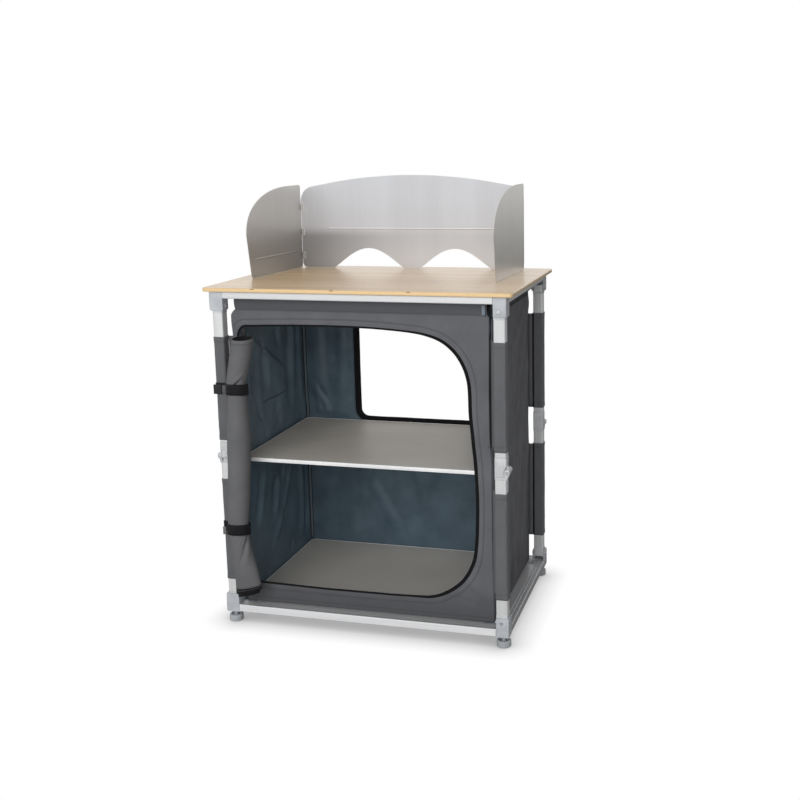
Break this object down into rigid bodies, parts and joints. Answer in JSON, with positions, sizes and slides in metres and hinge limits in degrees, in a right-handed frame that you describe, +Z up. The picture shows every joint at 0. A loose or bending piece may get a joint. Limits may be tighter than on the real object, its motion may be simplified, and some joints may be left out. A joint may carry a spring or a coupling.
{
  "type": "folding camp kitchen unit",
  "caption": "Fold-flat camp kitchen on four hinged legs: wooden worktop with a folding windscreen, a fabric cupboard with shelves, a rolled door and screw feet.",
  "frame": {"origin": "centre of the bounding box at floor level, under the feet", "axes": "+Z up, +X to the user's right, and the door side faces -Y"},
  "size_m": [0.72, 0.5152, 1.0413],
  "materials": {
    "bare_tube": "satin natural anodised",
    "rail": "satin natural anodised",
    "fitting": "fine textured moulding",
    "foot": "fine textured moulding",
    "bamboo": "clear satin lacquer",
    "sheet": "brushed sheet",
    "shelf": "coated board",
    "cover": "coated woven polyester",
    "webbing": "woven webbing"
  },
  "bodies": {
    "bottom_frame": {"bottom_corner_front_right": "fitting", "bottom_corner_rear_right": "fitting", "bottom_corner_rear_left": "fitting", "bottom_corner_front_left": "fitting", "bottom_rail_front": "rail", "bottom_rail_right": "rail", "bottom_rail_rear": "rail", "bottom_rail_left": "rail", "cover_floor": "cover", "bottom_shelf": "shelf", "cover_front": "cover", "cover_right": "cover", "cover_rear": "cover", "cover_left": "cover", "door_roll": "cover", "door_strap_upper": "webbing", "door_strap_lower": "webbing"},
    "foot_front_right": {"foot_front_right": "foot"},
    "lower_leg_front_right": {"lower_leg_tube_front_right": "bare_tube", "lower_knee_front_right": "fitting", "lower_sleeve_front_right": "cover"},
    "upper_leg_front_right": {"upper_leg_tube_front_right": "bare_tube", "upper_knee_front_right": "fitting", "upper_sleeve_front_right": "cover"},
    "foot_rear_right": {"foot_rear_right": "foot"},
    "lower_leg_rear_right": {"lower_leg_tube_rear_right": "bare_tube", "lower_knee_rear_right": "fitting", "lower_sleeve_rear_right": "cover"},
    "upper_leg_rear_right": {"upper_leg_tube_rear_right": "bare_tube", "upper_knee_rear_right": "fitting", "upper_sleeve_rear_right": "cover"},
    "foot_rear_left": {"foot_rear_left": "foot"},
    "lower_leg_rear_left": {"lower_leg_tube_rear_left": "bare_tube", "lower_knee_rear_left": "fitting", "lower_sleeve_rear_left": "cover"},
    "upper_leg_rear_left": {"upper_leg_tube_rear_left": "bare_tube", "upper_knee_rear_left": "fitting", "upper_sleeve_rear_left": "cover"},
    "foot_front_left": {"foot_front_left": "foot"},
    "lower_leg_front_left": {"lower_leg_tube_front_left": "bare_tube", "lower_knee_front_left": "fitting", "lower_sleeve_front_left": "cover"},
    "upper_leg_front_left": {"upper_leg_tube_front_left": "bare_tube", "upper_knee_front_left": "fitting", "upper_sleeve_front_left": "cover"},
    "top_frame": {"top_corner_front_right": "fitting", "top_corner_rear_right": "fitting", "top_corner_rear_left": "fitting", "top_corner_front_left": "fitting", "top_rail_front": "rail", "top_rail_right": "rail", "top_rail_rear": "rail", "top_rail_left": "rail", "worktop": "bamboo"},
    "windscreen": {"windscreen_back": "sheet"},
    "wing_left": {"windscreen_left": "sheet"},
    "wing_right": {"windscreen_right": "sheet"},
    "shelf": {"middle_shelf": "shelf"}
  },
  "joints": [
    {"name": "lower_pivot_front_right", "type": "hinge", "parent": "bottom_frame", "child": "lower_leg_front_right", "pos_m": [0.328, -0.1984, 0.06], "axis": [0, -1, 0], "range_deg": [0, 90]},
    {"name": "knee_front_right", "type": "hinge", "parent": "lower_leg_front_right", "child": "upper_leg_front_right", "pos_m": [0.3428, -0.1984, 0.411], "axis": [0, -1, 0], "range_deg": [-180, 0]},
    {"name": "lower_pivot_rear_right", "type": "hinge", "parent": "bottom_frame", "child": "lower_leg_rear_right", "pos_m": [0.329, 0.2326, 0.06], "axis": [1, 0, 0], "range_deg": [0, 90]},
    {"name": "knee_rear_right", "type": "hinge", "parent": "lower_leg_rear_right", "child": "upper_leg_rear_right", "pos_m": [0.329, 0.2474, 0.411], "axis": [1, 0, 0], "range_deg": [-180, 0]},
    {"name": "lower_pivot_rear_left", "type": "hinge", "parent": "bottom_frame", "child": "lower_leg_rear_left", "pos_m": [-0.328, 0.2336, 0.06], "axis": [0, 1, 0], "range_deg": [0, 90]},
    {"name": "knee_rear_left", "type": "hinge", "parent": "lower_leg_rear_left", "child": "upper_leg_rear_left", "pos_m": [-0.3428, 0.2336, 0.411], "axis": [0, 1, 0], "range_deg": [-180, 0]},
    {"name": "lower_pivot_front_left", "type": "hinge", "parent": "bottom_frame", "child": "lower_leg_front_left", "pos_m": [-0.329, -0.1974, 0.06], "axis": [-1, 0, 0], "range_deg": [0, 90]},
    {"name": "knee_front_left", "type": "hinge", "parent": "lower_leg_front_left", "child": "upper_leg_front_left", "pos_m": [-0.329, -0.2122, 0.411], "axis": [-1, 0, 0], "range_deg": [-180, 0]},
    {"name": "frame_fold", "type": "hinge", "parent": "upper_leg_front_right", "child": "top_frame", "pos_m": [0.328, -0.1984, 0.762], "axis": [0, -1, 0], "range_deg": [0, 90], "deforming": ["cover_front", "cover_right", "cover_rear", "cover_left", "door_roll", "door_strap_upper", "door_strap_lower"]},
    {"name": "shelf_hang", "type": "slide", "parent": "top_frame", "child": "shelf", "axis": [0, 0, 1], "range_m": [0, 0.3395]},
    {"name": "windscreen_lift", "type": "slide", "parent": "top_frame", "child": "windscreen", "axis": [0, 0, 1], "range_m": [0, 0.3]},
    {"name": "wing_left_hinge", "type": "hinge", "parent": "windscreen", "child": "wing_left", "pos_m": [-0.292, 0.2156, 0.9], "axis": [0, 0, 1], "range_deg": [-85, 95]},
    {"name": "wing_right_hinge", "type": "hinge", "parent": "windscreen", "child": "wing_right", "pos_m": [0.292, 0.2156, 0.9], "axis": [0, 0, -1], "range_deg": [-92, 87]},
    {"name": "foot_screw_front_right", "type": "slide", "parent": "bottom_frame", "child": "foot_front_right", "axis": [0, 0, -1], "range_m": [0, 0.012]},
    {"name": "foot_screw_rear_right", "type": "slide", "parent": "bottom_frame", "child": "foot_rear_right", "axis": [0, 0, -1], "range_m": [0, 0.012]},
    {"name": "foot_screw_rear_left", "type": "slide", "parent": "bottom_frame", "child": "foot_rear_left", "axis": [0, 0, -1], "range_m": [0, 0.012]},
    {"name": "foot_screw_front_left", "type": "slide", "parent": "bottom_frame", "child": "foot_front_left", "axis": [0, 0, -1], "range_m": [0, 0.012]}
  ],
  "couplings": [
    {"joint": "lower_pivot_front_right", "follows": "frame_fold", "ratio": 1},
    {"joint": "knee_front_right", "follows": "frame_fold", "ratio": -2},
    {"joint": "lower_pivot_rear_right", "follows": "frame_fold", "ratio": 1},
    {"joint": "knee_rear_right", "follows": "frame_fold", "ratio": -2},
    {"joint": "lower_pivot_rear_left", "follows": "frame_fold", "ratio": 1},
    {"joint": "knee_rear_left", "follows": "frame_fold", "ratio": -2},
    {"joint": "lower_pivot_front_left", "follows": "frame_fold", "ratio": 1},
    {"joint": "knee_front_left", "follows": "frame_fold", "ratio": -2},
    {"joint": "shelf_hang", "follows": "frame_fold", "m_per_rad": 0.21575}
  ]
}
